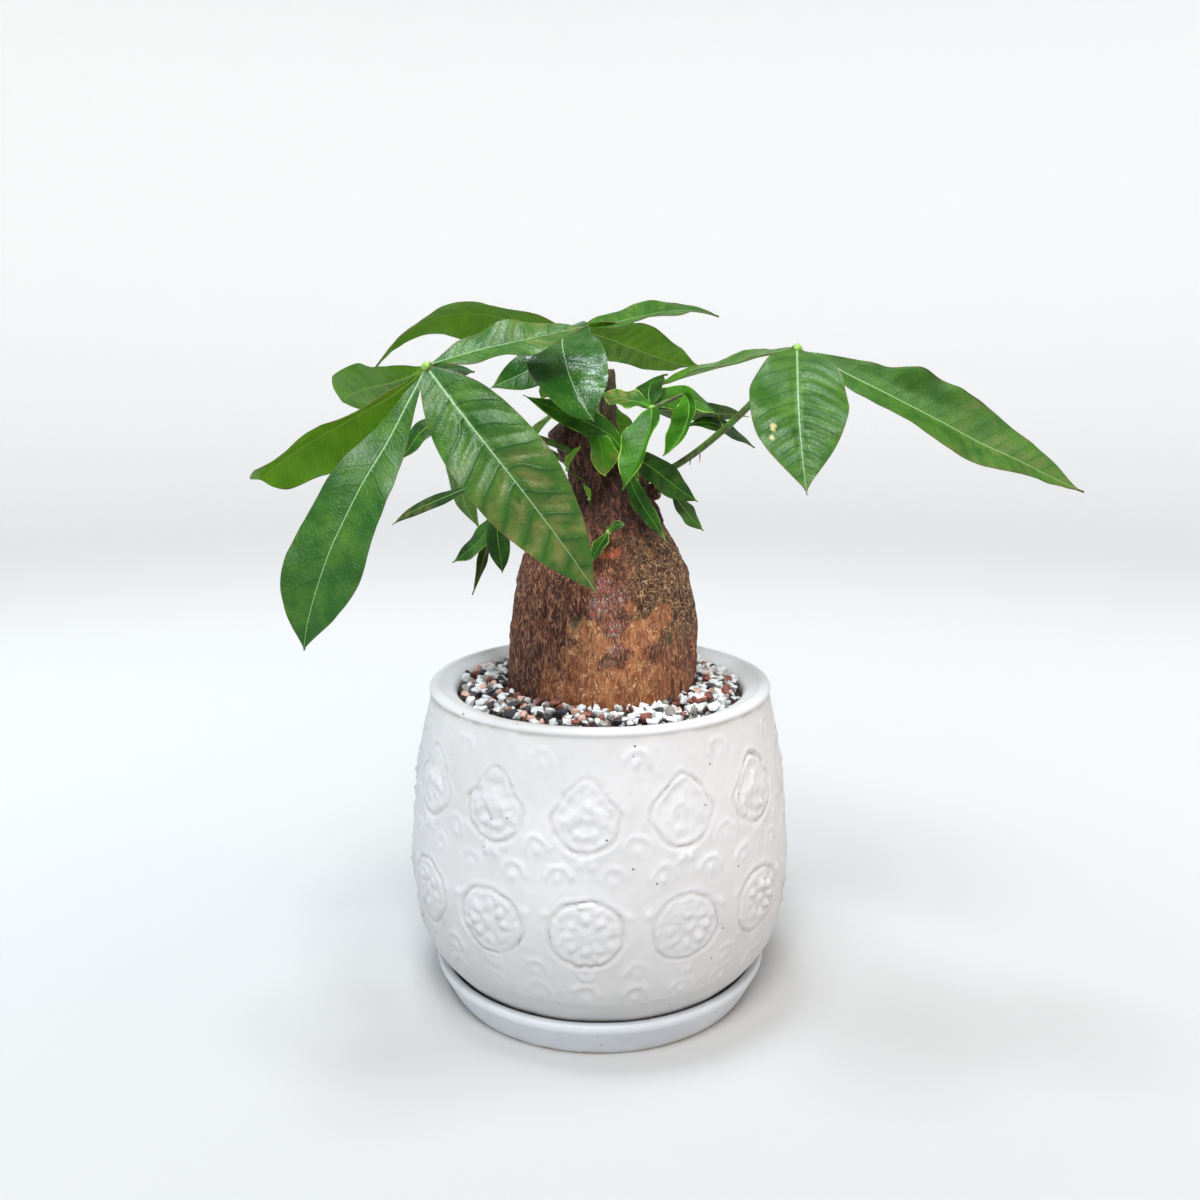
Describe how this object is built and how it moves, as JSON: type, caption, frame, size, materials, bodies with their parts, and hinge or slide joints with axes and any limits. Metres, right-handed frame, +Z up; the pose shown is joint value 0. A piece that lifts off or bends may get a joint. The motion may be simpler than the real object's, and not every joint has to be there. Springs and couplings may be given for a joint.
{
  "type": "potted money tree",
  "caption": "Potted money tree: swollen bare trunk with drooping hand-shaped compound leaves in a round-bellied glazed pot with stone chips on top, standing on a saucer.",
  "frame": {"origin": "middle of the saucer's flat underside, on the surface that it stands on", "axes": "+Z up along the pot's axis, -Y towards the front of the plant, +X to the right seen from the front"},
  "size_m": [0.2834, 0.1793, 0.2752],
  "materials": {
    "pot_glaze": "worn off-white glaze with a soft sheen over an embossed pattern",
    "saucer_glaze": "plain off-white glaze with a soft sheen",
    "soil": "dark, crumbly and matt",
    "gravel": "dry matt chips of white, black, grey and reddish brown stone",
    "bark": "rough, fibrous and flaking, maroon brown with tan bare patches",
    "leaf": "deep green and glossy above, lighter and duller below",
    "young_leaf": "fresh green with a soft gloss"
  },
  "bodies": {
    "root": {"saucer": "saucer_glaze", "pot": "pot_glaze", "soil": "soil", "gravel": "gravel", "trunk": "bark", "leaf_front_left": "leaf", "leaf_top": "leaf", "leaf_right": "leaf", "leaf_back": "leaf", "shoot_centre": "young_leaf", "shoot_low": "young_leaf", "shoot_stub": "young_leaf", "shoot_left": "young_leaf", "shoot_back_left": "young_leaf", "shoot_bud": "young_leaf"}
  },
  "joints": []
}
